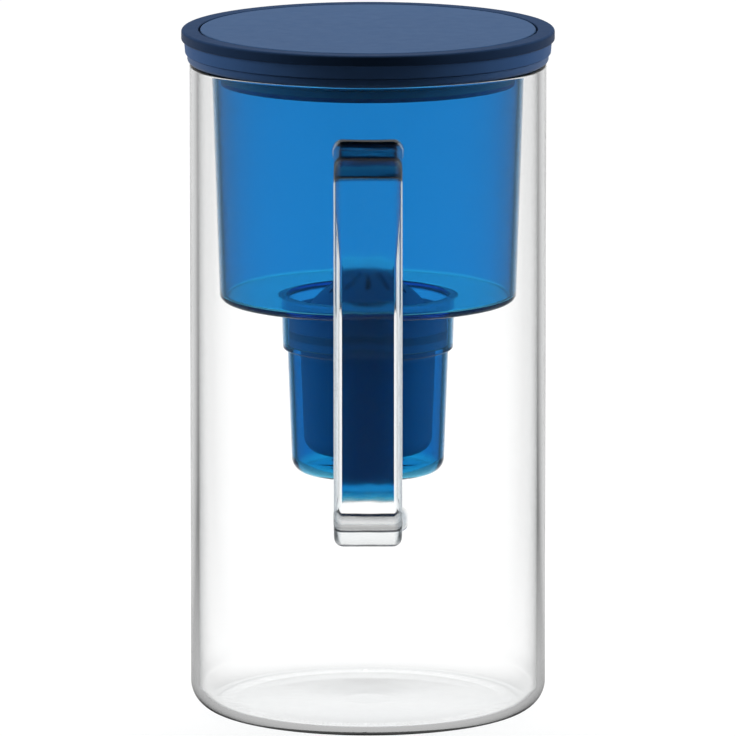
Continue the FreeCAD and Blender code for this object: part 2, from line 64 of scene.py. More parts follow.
QUARTER_TURN = math.pi / 2
SAME_PLACE = 0.002 * MM
PAST = 1.0 * MM
ROUND_STEPS = 192
UPRIGHT = 0.3
LEVEL = 0.9
WHITE = (1.0, 1.0, 1.0, 1.0)

log = logging.getLogger("pitcher")
Colour = tuple[float, float, float]
Place = tuple[float, float, float]
Object = bpy.types.Object
Socket = bpy.types.NodeSocket
Number = float | Socket


class Body(Enum):
    """The bodies that move as one."""

    JUG = "jug"
    FUNNEL = "funnel"
    CARTRIDGE = "cartridge"
    LID = "lid"


class Slot(Enum):
    """The record's material slots."""

    CLEAR_GLASS = "clear_glass"
    BLUE_PLASTIC = "blue_plastic"
    NAVY_PLASTIC = "navy_plastic"
    NAVY_DISC = "navy_disc"
    GASKET = "gasket_silicone"
    CARTRIDGE = "cartridge_plastic"
    SEAL = "seal_rubber"


class Work(Enum):
    """What a tool does to a piece."""

    JOIN = "UNION"
    CUT = "DIFFERENCE"


@dataclass(frozen=True)
class Corner:
    """A corner of a turned outline.

    Args:
        across: Distance from the axis.
        up: Height above the table.
        turn: Radius that rounds the corner off, or 0 for a sharp one.
        steps: Facets in that round.
    """

    across: float
    up: float
    turn: float = 0.0
    steps: int = 6


@dataclass(frozen=True)
class Sweep:
    """An arc of a turned outline about a point on the axis, from the last corner to the given place.

    Args:
        across: Distance of the arc's end from the axis.
        up: Height of the arc's end.
        centre: Height of the arc's centre.
        steps: Facets in the arc.
    """

    across: float
    up: float
    centre: float
    steps: int = 24


class Bench:
    """The modelling operators, used as at a bench, with one mesh open at a time."""

    @staticmethod
    def open_plane(name: str) -> Object:
        """Add a small plane at the origin and open it, all selected.

        Args:
            name: The new object's name.

        Returns:
            The object, in edit mode.
        """
        bpy.ops.object.select_all(action="DESELECT")
        bpy.ops.mesh.primitive_plane_add(size=MM)
        piece = bpy.context.object
        piece.name = name
        bpy.ops.object.mode_set(mode="EDIT")
        bpy.ops.mesh.select_all(action="SELECT")
        return piece

    @staticmethod
    def pick(piece: Object, wanted: Callable[[Vector], bool]) -> None:
        """Select the points of the open mesh whose place passes a test, and nothing else.

        Args:
            piece: The object that is open.
            wanted: True for the place of a point to select.
        """
        mesh = bmesh.from_edit_mesh(piece.data)
        for point in mesh.verts:
            point.select_set(False)
        mesh.select_flush(False)
        for point in mesh.verts:
            point.select_set(wanted(point.co))
        mesh.select_flush(True)
        bmesh.update_edit_mesh(piece.data)

    @staticmethod
    def pick_near(piece: Object, place: Vector) -> None:
        """Select the points of the open mesh at one place."""
        Bench.pick(piece, lambda point: (point - place).length < SAME_PLACE)

    @staticmethod
    def draw(piece: Object, moves: Sequence[Corner | Sweep], closed: bool) -> None:
        """Draw an outline in the XZ plane from the plane that is open, and round its corners.

        Args:
            piece: The object that is open, all selected.
            moves: The outline, which starts with a corner.
            closed: True to join the last corner to the first.
        """
        bpy.ops.mesh.merge(type="CENTER")
        first = moves[0]
        bpy.ops.transform.translate(value=(first.across, 0, first.up))
        for last, move in zip(moves, moves[1:]):
            if isinstance(move, Sweep):
                start = math.atan2(last.up - move.centre, last.across)
                end = math.atan2(move.up - move.centre, move.across)
                bpy.ops.mesh.spin(steps=move.steps, angle=end - start, center=(0, 0, move.centre), axis=(0, 1, 0))
            else:
                step = (move.across - last.across, 0, move.up - last.up)
                bpy.ops.mesh.extrude_vertices_move(TRANSFORM_OT_translate={"value": step})
        if closed:
            ends = [Vector((move.across, 0, move.up)) for move in (moves[0], moves[-1])]
            Bench.pick(piece, lambda point: any((point - end).length < SAME_PLACE for end in ends))
            bpy.ops.mesh.edge_face_add()
        Bench.round_corners(piece, moves)

    @staticmethod
    def round_corners(piece: Object, moves: Sequence[Corner | Sweep]) -> None:
        """Round off each corner of an outline that has a turn.

        Args:
            piece: The object that is open.
            moves: The outline as it was drawn.
        """
        places = [Vector((move.across, 0, move.up)) for move in moves]
        for index, (move, place) in enumerate(zip(moves, places)):
            if isinstance(move, Sweep) or not move.turn:
                continue
            before = places[index - 1] - place
            after = places[(index + 1) % len(places)] - place
            reach = move.turn / math.tan(before.angle(after) / 2)
            Bench.pick_near(piece, place)
            Bench.round_points(reach, move.steps)

    @staticmethod
    def round_points(reach: float, steps: int) -> None:
        """Round off the selected points, from a distance along their edges."""
        bpy.ops.mesh.bevel(
            offset_type="ABSOLUTE", offset=reach, segments=steps, affect="VERTICES", clamp_overlap=False)

    @staticmethod
    def turned(name: str, moves: Sequence[Corner | Sweep], closed: bool = False) -> Object:
        """Turn an outline about the upright axis.

        Args:
            name: The new object's name.
            moves: The outline, from axis to axis, or a loop off the axis.
            closed: True for a loop.

        Returns:
            The object, with smooth faces.
        """
        piece = Bench.open_plane(name)
        Bench.draw(piece, moves, closed)
        bpy.ops.mesh.select_all(action="SELECT")
        bpy.ops.mesh.spin(steps=ROUND_STEPS, angle=FULL_TURN, center=(0, 0, 0), axis=(0, 0, 1))
        return Bench.finish(piece)

    @staticmethod
    def finish(piece: Object) -> Object:
        """Merge doubles, turn the faces outwards, leave edit mode and smooth the mesh.

        Args:
            piece: The object that is open.

        Returns:
            The same object, in object mode.
        """
        bpy.ops.mesh.select_all(action="SELECT")
        bpy.ops.mesh.remove_doubles(threshold=SAME_PLACE)
        bpy.ops.mesh.normals_make_consistent(inside=False)
        bpy.ops.object.mode_set(mode="OBJECT")
        return Bench.smooth(piece)

    @staticmethod
    def choose(piece: Object) -> None:
        """Select one piece alone and make it active.

        Args:
            piece: The piece.
        """
        bpy.ops.object.select_all(action="DESELECT")
        piece.select_set(True)
        bpy.context.view_layer.objects.active = piece

    @staticmethod
    def smooth(piece: Object, angle: float = 32.0) -> Object:
        """Shade a piece smooth, apart from its sharp edges.

        Args:
            piece: The piece.
            angle: How many degrees an edge turns to be sharp.

        Returns:
            The same piece.
        """
        Bench.choose(piece)
        bpy.ops.object.shade_smooth_by_angle(angle=math.radians(angle))
        return piece

    @staticmethod
    def even(piece: Object) -> None:
        """Let large faces set the shading, so that flat walls stay flat up to their rounded edges.

        Args:
            piece: The piece.
        """
        Bench.choose(piece)
        weighted = piece.modifiers.new("Even", "WEIGHTED_NORMAL")
        weighted.keep_sharp = True
        bpy.ops.object.modifier_apply(modifier=weighted.name)

    @staticmethod
    def combine(piece: Object, tool: Object, work: Work) -> None:
        """Join a tool to a piece or cut it away, and throw the tool away.

        Args:
            piece: The piece that stays.
            tool: The shape that is joined or cut.
            work: What the tool does.
        """
        Bench.choose(piece)
        boolean = piece.modifiers.new("Combine", "BOOLEAN")
        boolean.operation = work.value
        boolean.solver = "EXACT"
        boolean.object = tool
        bpy.ops.object.modifier_apply(modifier=boolean.name)
        bpy.data.objects.remove(tool)
        Bench.smooth(piece)

    @staticmethod
    def slot_ring(inner: float, outer: float, width: float, low: float, high: float, count: int) -> Object:
        """Model a ring of round-ended bars that cut slots.

        Args:
            inner: Distance of a slot's inner centre from the axis.
            outer: Distance of its outer centre from the axis.
            width: The slot's width.
            low: Height of the bars' undersides.
            high: Height of their tops.
            count: How many bars.

        Returns:
            The bars as one object.
        """
        bars = Bench.open_plane("slot_bars")
        almost_half = width / 2 * 0.999
        length = outer - inner + width
        bpy.ops.transform.resize(value=(length / MM, width / MM, 1))
        bpy.ops.transform.translate(value=((inner + outer) / 2, 0, low))
        Bench.round_points(almost_half, 6)
        bpy.ops.mesh.select_all(action="SELECT")
        bpy.ops.mesh.extrude_region_move(TRANSFORM_OT_translate={"value": (0, 0, high - low)})
        bpy.ops.mesh.select_all(action="SELECT")
        bpy.ops.mesh.spin(steps=count, dupli=True, angle=FULL_TURN, center=(0, 0, 0), axis=(0, 0, 1))
        return Bench.finish(bars)


class Recipe:
    """A node tree of a material or world, written one node at a time."""

    def __init__(self, owner: bpy.types.Material | bpy.types.World, output: str = "OutputMaterial") -> None:
        """Empty the owner's tree and give it an output.

        Args:
            owner: The material or world.
            output: The output node's type, without its ShaderNode prefix.
        """
        owner.use_nodes = True
        self.owner = owner
        self.tree = owner.node_tree
        self.tree.nodes.clear()
        self.output = self.add(output)

    @classmethod
    def named(cls, name: str) -> "Recipe":
        """Start a new material."""
        return cls(bpy.data.materials.new(name))

    def add(self, kind: str, settings: dict[str, object] | None = None, **sockets: object) -> bpy.types.Node:
        """Add a node.

        Args:
            kind: The node's type, without its ShaderNode prefix.
            settings: Properties of the node itself.
            sockets: Input names with _ for spaces, and a value or a socket for each.

        Returns:
            The new node.
        """
        node = self.tree.nodes.new(f"ShaderNode{kind}")
        for name, value in (settings or {}).items():
            setattr(node, name, value)
        for name, value in sockets.items():
            self.feed(node.inputs[name.replace("_", " ")], value)
        return node

    def feed(self, target: Socket, value: object) -> None:
        """Set an input to a value, or link a socket to it.

        Args:
            target: The input.
            value: The value or socket.
        """
        if isinstance(value, bpy.types.NodeSocket):
            self.tree.links.new(value, target)
        else:
            target.default_value = value

    def place(self, scale: Sequence[float] = (1.0, 1.0, 1.0)) -> Socket:
        """Object coordinates, scaled along each axis."""
        coordinates = self.add("TexCoord").outputs["Object"]
        return self.add("Mapping", Vector=coordinates, Scale=scale).outputs["Vector"]

    def height(self) -> Socket:
        """Height above the table at rest."""
        return self.add("SeparateXYZ", Vector=self.place()).outputs["Z"]

    def noise(self, size: float, detail: float = 3.0, stretch: Sequence[float] = (1.0, 1.0, 1.0)) -> Socket:
        """Noise whose blotches are about one size in metres.

        Args:
            size: The size of a blotch.
            detail: Octaves of finer noise.
            stretch: How many times finer it is along each axis.

        Returns:
            The noise, from 0 to 1.
        """
        node = self.add("TexNoise", Vector=self.place(stretch), Scale=1.0 / size, Detail=detail)
        return node.outputs["Fac"]

    def between(self, value: Socket, low: Number, high: Number, start: float = 0.0, end: float = 1.0) -> Socket:
        """A value from start to end as a number between low and high."""
        node = self.add("MapRange", Value=value, From_Min=start, From_Max=end, To_Min=low, To_Max=high)
        return node.outputs["Result"]

    def tones(self, factor: Socket, dark: Colour, light: Colour) -> Socket:
        """A factor from 0 to 1 as a colour between two tones.

        Args:
            factor: The factor.
            dark: The tone at 0.
            light: The tone at 1.

        Returns:
            The colour.
        """
        ramp = self.add("ValToRGB", Fac=factor)
        ramp.color_ramp.elements[0].color = (*dark, 1.0)
        ramp.color_ramp.elements[1].color = (*light, 1.0)
        return ramp.outputs["Color"]

    def faces(self, axis: str) -> Socket:
        """How far a face looks along an axis, either way, from 0 to 1."""
        normal = self.add("SeparateXYZ", Vector=self.add("TexCoord").outputs["Normal"])
        return self.reckon("ABSOLUTE", normal.outputs[axis])

    def lie(self) -> Socket:
        """0 where a face is upright and 1 where it lies level."""
        return self.between(self.faces("Z"), 0.0, 1.0, UPRIGHT, LEVEL)

    def mix(self, factor: Socket, first: Socket, second: Socket) -> Socket:
        """Mix two colours.

        Args:
            factor: The second colour's share.
            first: The colour at 0.
            second: The colour at 1.

        Returns:
            The mixed colour.
        """
        node = self.add("Mix", {"data_type": "RGBA"})
        self.feed(node.inputs["Factor"], factor)
        self.feed(node.inputs[6], first)
        self.feed(node.inputs[7], second)
        return node.outputs[2]

    def bump(self, height: Socket, depth: float) -> Socket:
        """A normal from a height of one depth in metres."""
        return self.add("Bump", Height=height, Strength=1.0, Distance=depth).outputs["Normal"]

    def surface(self, shader: bpy.types.Node) -> bpy.types.Material:
        """Link a shader to the output and give the owner back."""
        self.feed(self.output.inputs["Surface"], shader.outputs[0])
        return self.owner

    def colour(self, tone: Colour) -> Socket:
        """One plain colour, to mix with others.

        Args:
            tone: The colour.

        Returns:
            A socket that gives it.
        """
        node = self.add("RGB")
        node.outputs[0].default_value = (*tone, 1.0)
        return node.outputs[0]

    def times(self, first: Socket, second: Socket) -> Socket:
        """Two numbers multiplied."""
        return self.reckon("MULTIPLY", first, second)

    def plus(self, first: Socket, second: Socket) -> Socket:
        """Two numbers added."""
        return self.reckon("ADD", first, second)

    def largest(self, *values: Socket) -> Socket:
        """The largest of some numbers."""
        return functools.reduce(lambda most, value: self.reckon("MAXIMUM", most, value), values)

    def reckon(self, operation: str, *values: Socket) -> Socket:
        """Work out one operation on numbers.

        Args:
            operation: The Math node's operation.
            values: The numbers that it takes.

        Returns:
            The result.
        """
        node = self.add("Math", {"operation": operation})
        for target, value in zip(node.inputs, values):
            self.feed(target, value)
        return node.outputs[0]

    def blend(self, factor: Socket, first: bpy.types.Node, second: bpy.types.Node) -> bpy.types.Node:
        """Mix two shaders.

        Args:
            factor: The second shader's share.
            first: The shader at 0.
            second: The shader at 1.

        Returns:
            The mixed shader.
        """
        mixed = self.add("MixShader", Fac=factor)
        self.feed(mixed.inputs[1], first.outputs[0])
        self.feed(mixed.inputs[2], second.outputs[0])
        return mixed

    def fill(self, tint: Colour, density: float) -> None:
        """Fill the inside with a tint that deepens along the way through it."""
        volume = self.add("VolumeAbsorption", Color=(*tint, 1.0), Density=density)
        self.feed(self.output.inputs["Volume"], volume.outputs[0])

    def lamps_pass(self, glass: bpy.types.Node, tint: Colour) -> bpy.types.Node:
        """Mix a glass shader with a clear one for rays from lamps, so that they reach what is behind it.

        Args:
            glass: The glass shader.
            tint: What the lamps' light is tinted by on each face.

        Returns:
            The mixed shader.
        """
        clear = self.add("BsdfTransparent", Color=(*tint, 1.0))
        shadow = self.add("LightPath").outputs["Is Shadow Ray"]
        return self.blend(shadow, glass, clear)


class Finish(ABC):
    """A surface finish that can be made into a material."""

    @abstractmethod
    def material(self) -> bpy.types.Material:
        """Make the material.

        Returns:
            A new material.
        """


@dataclass(frozen=True)
class ClearGlass(Finish):
    """Clear blown glass, a little wavy, with painted shade that greys it where it is seen edge on.

    The strap lies beyond the jug's radius, its rounded sides get a painted grey-blue shade and a painted milky
    sheen, and its outer face thins towards the lower end of the leg, as drawn glass does.

    Args:
        jug_radius: The jug's outer radius.
        leg_reach: Distance of the middle of the strap's leg from the axis.
        leg_low: Height of the leg's lower end.
        leg_high: Height of its upper end.
    """

    jug_radius: float
    leg_reach: float
    leg_low: float
    leg_high: float
    name: str = "clear_glass"
    face: Colour = (1.0, 1.0, 1.0)
    # edge: painted shade, the grey that the glass is given where it is seen edge on.
    edge: Colour = (0.85, 0.87, 0.88)
    edge_painted_shade_start: float = 0.62
    # side and its haze: painted shade and a painted milky sheen on the strap's rounded sides.
    side: Colour = (0.46, 0.53, 0.59)
    side_painted_haze: float = 0.1
    side_start: float = 0.15
    side_full: float = 0.7
    strap_start: float = 0.5 * MM
    strap_full: float = 3.0 * MM
    index: float = 1.5
    upright_gleam: Colour = (0.12, 0.12, 0.12)
    level_gleam: Colour = (0.9, 0.9, 0.9)
    wave_size: float = 34 * MM
    wave_depth: float = 0.04 * MM
    strap_wave_size: float = 10 * MM
    strap_wave_depth: float = 0.15 * MM
    strap_rough: float = 0.09
    taper_length: float = 35 * MM
    taper_depth: float = 4.5 * MM
    leg_blend: float = 1.0 * MM
    absorbed: Colour = (0.80, 0.88, 0.88)
    density: float = 6.0
    lamp_tint: Colour = (0.96, 0.97, 0.97)

    def material(self) -> bpy.types.Material:
        """Make the glass: clear, with painted shade on edges and strap sides, faint waves and a little absorption.

        Returns:
            A new material.
        """
        recipe = Recipe.named(self.name)
        facing = recipe.add("LayerWeight", Blend=0.5).outputs["Facing"]
        # Painted shade: the colour greys towards faces seen edge on.
        edge = recipe.tones(recipe.between(facing, 0.0, 1.0, self.edge_painted_shade_start), self.face, self.edge)
        sides = self.strap_sides(recipe)
        glass = recipe.add(
            "BsdfPrincipled",
            # Painted shade: a grey-blue tint on the strap's rounded sides.
            Base_Color=recipe.mix(sides, edge, recipe.colour(self.side)),
            Roughness=self.beyond(recipe, self.strap_rough),
            IOR=self.index,
            Specular_Tint=recipe.tones(recipe.lie(), self.upright_gleam, self.level_gleam),
            # Painted milky sheen: the strap's sides are made a little less clear.
            Transmission_Weight=recipe.between(sides, 1.0, 1.0 - self.side_painted_haze),
            Normal=recipe.bump(self.waves(recipe), 1.0),
        )
        recipe.fill(self.absorbed, self.density)
        return recipe.surface(recipe.lamps_pass(glass, self.lamp_tint))

    def beyond(self, recipe: Recipe, most: float) -> Socket:
        """Tell the strap from the jug.

        Args:
            recipe: The glass's recipe.
            most: The value on the strap.

        Returns:
            0 on the jug, and that value on the strap, which lies beyond it.
        """
        reach = recipe.add("VectorMath", {"operation": "LENGTH"}, Vector=recipe.place((1.0, 1.0, 0.0)))
        start, full = self.jug_radius + self.strap_start, self.jug_radius + self.strap_full
        return recipe.between(reach.outputs["Value"], 0.0, most, start, full)

    def waves(self, recipe: Recipe) -> Socket:
        """Let the glass's faces swell and sink.

        Args:
            recipe: The glass's recipe.

        Returns:
            The height in metres: long faint waves all over, and on the strap shorter ones and its taper.
        """
        long_wave = recipe.between(recipe.noise(self.wave_size, detail=1.0), 0.0, self.wave_depth)
        depth = self.beyond(recipe, self.strap_wave_depth)
        short_wave = recipe.times(recipe.noise(self.strap_wave_size, detail=1.0), depth)
        return recipe.plus(recipe.plus(long_wave, short_wave), self.taper(recipe))

    def taper(self, recipe: Recipe) -> Socket:
        """Thin the strap's leg towards its lower end.

        Args:
            recipe: The glass's recipe.

        Returns:
            The height of the outer face in metres, which falls off slowly upwards and quickly downwards.
        """
        place = recipe.add("SeparateXYZ", Vector=recipe.place())
        up = place.outputs["Z"]
        middle = -self.leg_reach
        outer = recipe.between(place.outputs["Y"], 1.0, 0.0, middle - self.leg_blend, middle + self.leg_blend)
        face = recipe.times(outer, recipe.between(self.strap_sides(recipe), 1.0, 0.0))
        thick = self.leg_low + self.taper_length
        rise = recipe.add(
            "MapRange", {"interpolation_type": "SMOOTHSTEP"}, Value=up, From_Min=self.leg_low, From_Max=thick)
        fall = recipe.between(up, self.taper_depth, 0.0, thick, self.leg_high)
        return recipe.times(face, recipe.times(rise.outputs["Result"], fall))

    def strap_sides(self, recipe: Recipe) -> Socket:
        """1 on the strap's rounded sides and 0 on its flat faces and on the jug."""
        aside = recipe.between(recipe.faces("X"), 0.0, 1.0, self.side_start, self.side_full)
        return recipe.times(self.beyond(recipe, 1.0), aside)


@dataclass(frozen=True)
class TintedPlastic(Finish):
    """See-through moulded plastic, tinted in the mass, its rim painted shade: dark navy, dull and nearly opaque."""

    rim_height: float
    cup_height: float
    name: str = "blue_plastic"
    # rim, rim_rough, rim_clearness: painted shade, the rim made dark navy, dull and nearly opaque.
    rim: Colour = (0.042, 0.1, 0.235)
    rim_rough: float = 0.45
    rim_clearness: float = 0.1
    rim_blend: float = 0.1 * MM
    cup_blend: float = 2.0 * MM
    tint: Colour = (0.15, 0.512, 0.784)
    level_tint: Colour = (0.31, 0.87, 0.94)
    cup_tint: Colour = (0.052, 0.406, 0.7)
    clearness: float = 0.96
    absorbed: Colour = (0.0, 0.72, 0.94)
    density: float = 200.0
    lamp_tint: Colour = (0.96, 0.97, 0.98)
    index: float = 1.5
    upright_gleam: Colour = (0.05, 0.08, 0.12)
    level_gleam: Colour = (0.5, 0.62, 0.75)
    gloss_size: float = 6 * MM
    smooth: float = 0.01
    rough: float = 0.05
    flow_size: float = 18 * MM
    flow_stretch: Place = (1.0, 1.0, 0.3)
    flow_depth: float = 0.015 * MM

    def material(self) -> bpy.types.Material:
        """Make the plastic: a clear shader with flow marks, filled with the tint, and a dull rim of painted shade.

        Returns:
            A new material.
        """
        recipe = Recipe.named(self.name)
        flow = recipe.noise(self.flow_size, 2.0, self.flow_stretch)
        up = recipe.height()
        # Mask of the rim, which gets the painted shade.
        rim = recipe.between(up, 0.0, 1.0, self.rim_height, self.rim_height + self.rim_blend)
        cup = recipe.between(up, 1.0, 0.0, self.cup_height - self.cup_blend, self.cup_height)
        gloss = recipe.between(recipe.noise(self.gloss_size), self.smooth, self.rough)
        wall = recipe.tones(cup, self.tint, self.cup_tint)
        tint = recipe.mix(recipe.lie(), wall, recipe.colour(self.level_tint))
        plastic = recipe.add(
            "BsdfPrincipled",
            Base_Color=recipe.mix(rim, tint, recipe.colour(self.rim)),
            Roughness=recipe.largest(gloss, recipe.between(rim, 0.0, self.rim_rough)),
            IOR=self.index,
            Specular_Tint=recipe.tones(recipe.lie(), self.upright_gleam, self.level_gleam),
            Transmission_Weight=recipe.between(rim, self.clearness, self.rim_clearness),
            Normal=recipe.bump(flow, self.flow_depth),
        )
        recipe.fill(self.absorbed, self.density)
        return recipe.surface(recipe.lamps_pass(plastic, self.lamp_tint))


@dataclass(frozen=True)
class SatinPlastic(Finish):
    """Opaque moulded plastic with a fine grain and slightly uneven gloss."""

    name: str
    dark: Colour
    light: Colour
    smooth: float = 0.36
    rough: float = 0.46
    shine: float = 0.35
    cloud_size: float = 14 * MM
    gloss_size: float = 5 * MM
    grain_size: float = 0.35 * MM
    grain_depth: float = 0.012 * MM

    def material(self) -> bpy.types.Material:
        """Make the plastic: two close tones, a grain and a gloss that varies.

        Returns:
            A new material.
        """
        recipe = Recipe.named(self.name)
        cloud = recipe.noise(self.cloud_size, 4.0)
        plastic = recipe.add(
            "BsdfPrincipled",
            Base_Color=self.shaded(recipe, recipe.tones(cloud, self.dark, self.light)),
            Roughness=recipe.between(recipe.noise(self.gloss_size), self.smooth, self.rough),
            Specular_IOR_Level=self.shine,
            Normal=recipe.bump(recipe.noise(self.grain_size, 2.0), self.grain_depth),
        )
        return recipe.surface(plastic)

    def shaded(self, recipe: Recipe, tone: Socket) -> Socket:
        """The tone as it is."""
        return tone


@dataclass(frozen=True)
class ShadePaintedPlastic(SatinPlastic):
    """Satin plastic with painted shade on its top and its upright band, and painted light on the skirt below."""

    band_low: float = 0.0
    # Factors on the tone: painted shade on the band, painted light on the skirt, painted shade on the top.
    band_painted_shade: float = 0.6
    skirt_painted_light: float = 1.7
    top_painted_shade: float = 0.7
    band_blend: float = 0.1 * MM

    def shaded(self, recipe: Recipe, tone: Socket) -> Socket:
        """Paint shade on the top and the band, and paint light on the skirt.

        Args:
            recipe: The plastic's recipe.
            tone: The tone.

        Returns:
            The tone with painted shade and painted light.
        """
        start = self.band_low - self.band_blend
        # Painted light on the skirt, painted shade on the band, then painted shade on level faces.
        upright = recipe.between(recipe.height(), self.skirt_painted_light, self.band_painted_shade, start, self.band_low)
        shade = recipe.between(recipe.lie(), upright, self.top_painted_shade)
        scaled = recipe.add("VectorMath", {"operation": "SCALE"}, Scale=shade)
        recipe.feed(scaled.inputs[0], tone)
        return scaled.outputs[0]


@dataclass(frozen=True)
class MeshCloth(Finish):
    """Fine woven mesh."""

    name: str
    thread: Colour
    hole: Colour
    pitch: float = 0.8 * MM
    wave_period: float = 0.314
    roughness: float = 0.8

    def material(self) -> bpy.types.Material:
        """Make the mesh: threads both ways, raised over dark holes.

        Returns:
            A new material.
        """
        recipe = Recipe.named(self.name)
        scale = self.wave_period / self.pitch
        waves = [
            recipe.add("TexWave", {"bands_direction": axis}, Vector=recipe.place(), Scale=scale)
            for axis in ("X", "Y")]
        over = recipe.largest(*(wave.outputs["Fac"] for wave in waves))
        cloth = recipe.add(
            "BsdfPrincipled",
            Base_Color=recipe.tones(over, self.hole, self.thread),
            Roughness=self.roughness,
            Normal=recipe.bump(over, self.pitch / 4),
        )
        return recipe.surface(cloth)


@dataclass(frozen=True)
class Fibres(Finish):
    """Pressed felt of loose fibres."""

    name: str
    dark: Colour
    light: Colour
    fibre: float = 0.5 * MM
    fibre_stretch: Place = (1.0, 4.0, 1.0)
    depth: float = 0.3 * MM
    roughness: float = 0.95

    def material(self) -> bpy.types.Material:
        """Make the felt: stretched noise with a soft bump.

        Returns:
            A new material.
        """
        recipe = Recipe.named(self.name)
        mat = recipe.noise(self.fibre, 6.0, self.fibre_stretch)
        felt = recipe.add(
            "BsdfPrincipled",
            Base_Color=recipe.tones(mat, self.dark, self.light),
            Roughness=self.roughness,
            Normal=recipe.bump(mat, self.depth),
        )
        return recipe.surface(felt)


@dataclass(frozen=True)
class Grains(Finish):
    """A bed of loose grains or beads."""

    name: str
    dark: Colour
    light: Colour
    grain: float
    roughness: float

    def material(self) -> bpy.types.Material:
        """Make the bed: a cell for each grain, with its own tone and a rounded top.

        Returns:
            A new material.
        """
        recipe = Recipe.named(self.name)
        cells = recipe.add("TexVoronoi", Vector=recipe.place(), Scale=1.0 / self.grain)
        tone = recipe.add("SeparateColor", Color=cells.outputs["Color"]).outputs["Red"]
        top = recipe.between(cells.outputs["Distance"], 1.0, 0.0)
        bed = recipe.add(
            "BsdfPrincipled",
            Base_Color=recipe.tones(tone, self.dark, self.light),
            Roughness=self.roughness,
            Normal=recipe.bump(top, self.grain / 2),
        )
        return recipe.surface(bed)


def settle(piece: Object, finish: Finish, body: Body, slot: Slot, *nodes: str) -> Object:
    """Dress a finished piece and tie it to the frame.

    Args:
        piece: The piece.
        finish: The finish that it gets.
        body: The body that it rides on.
        slot: The record's slot that its finish stands for; not used.
        nodes: The frame's nodes that it stands for.

    Returns:
        The same piece.
    """
    Bench.even(piece)
    piece.data.materials.clear()
    piece.data.materials.append(finish.material())
    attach(piece, body.value)
    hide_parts(*nodes)
    return piece


@dataclass(frozen=True)
class Weld:
    """The pad at one end of the strap, which is melted on to the glass.

    Args:
        width: The pad's width on the glass.
        height: Its height there.
        shift: How far its middle lies to the right of the strap's.
    """

    width: float
    height: float
    shift: float


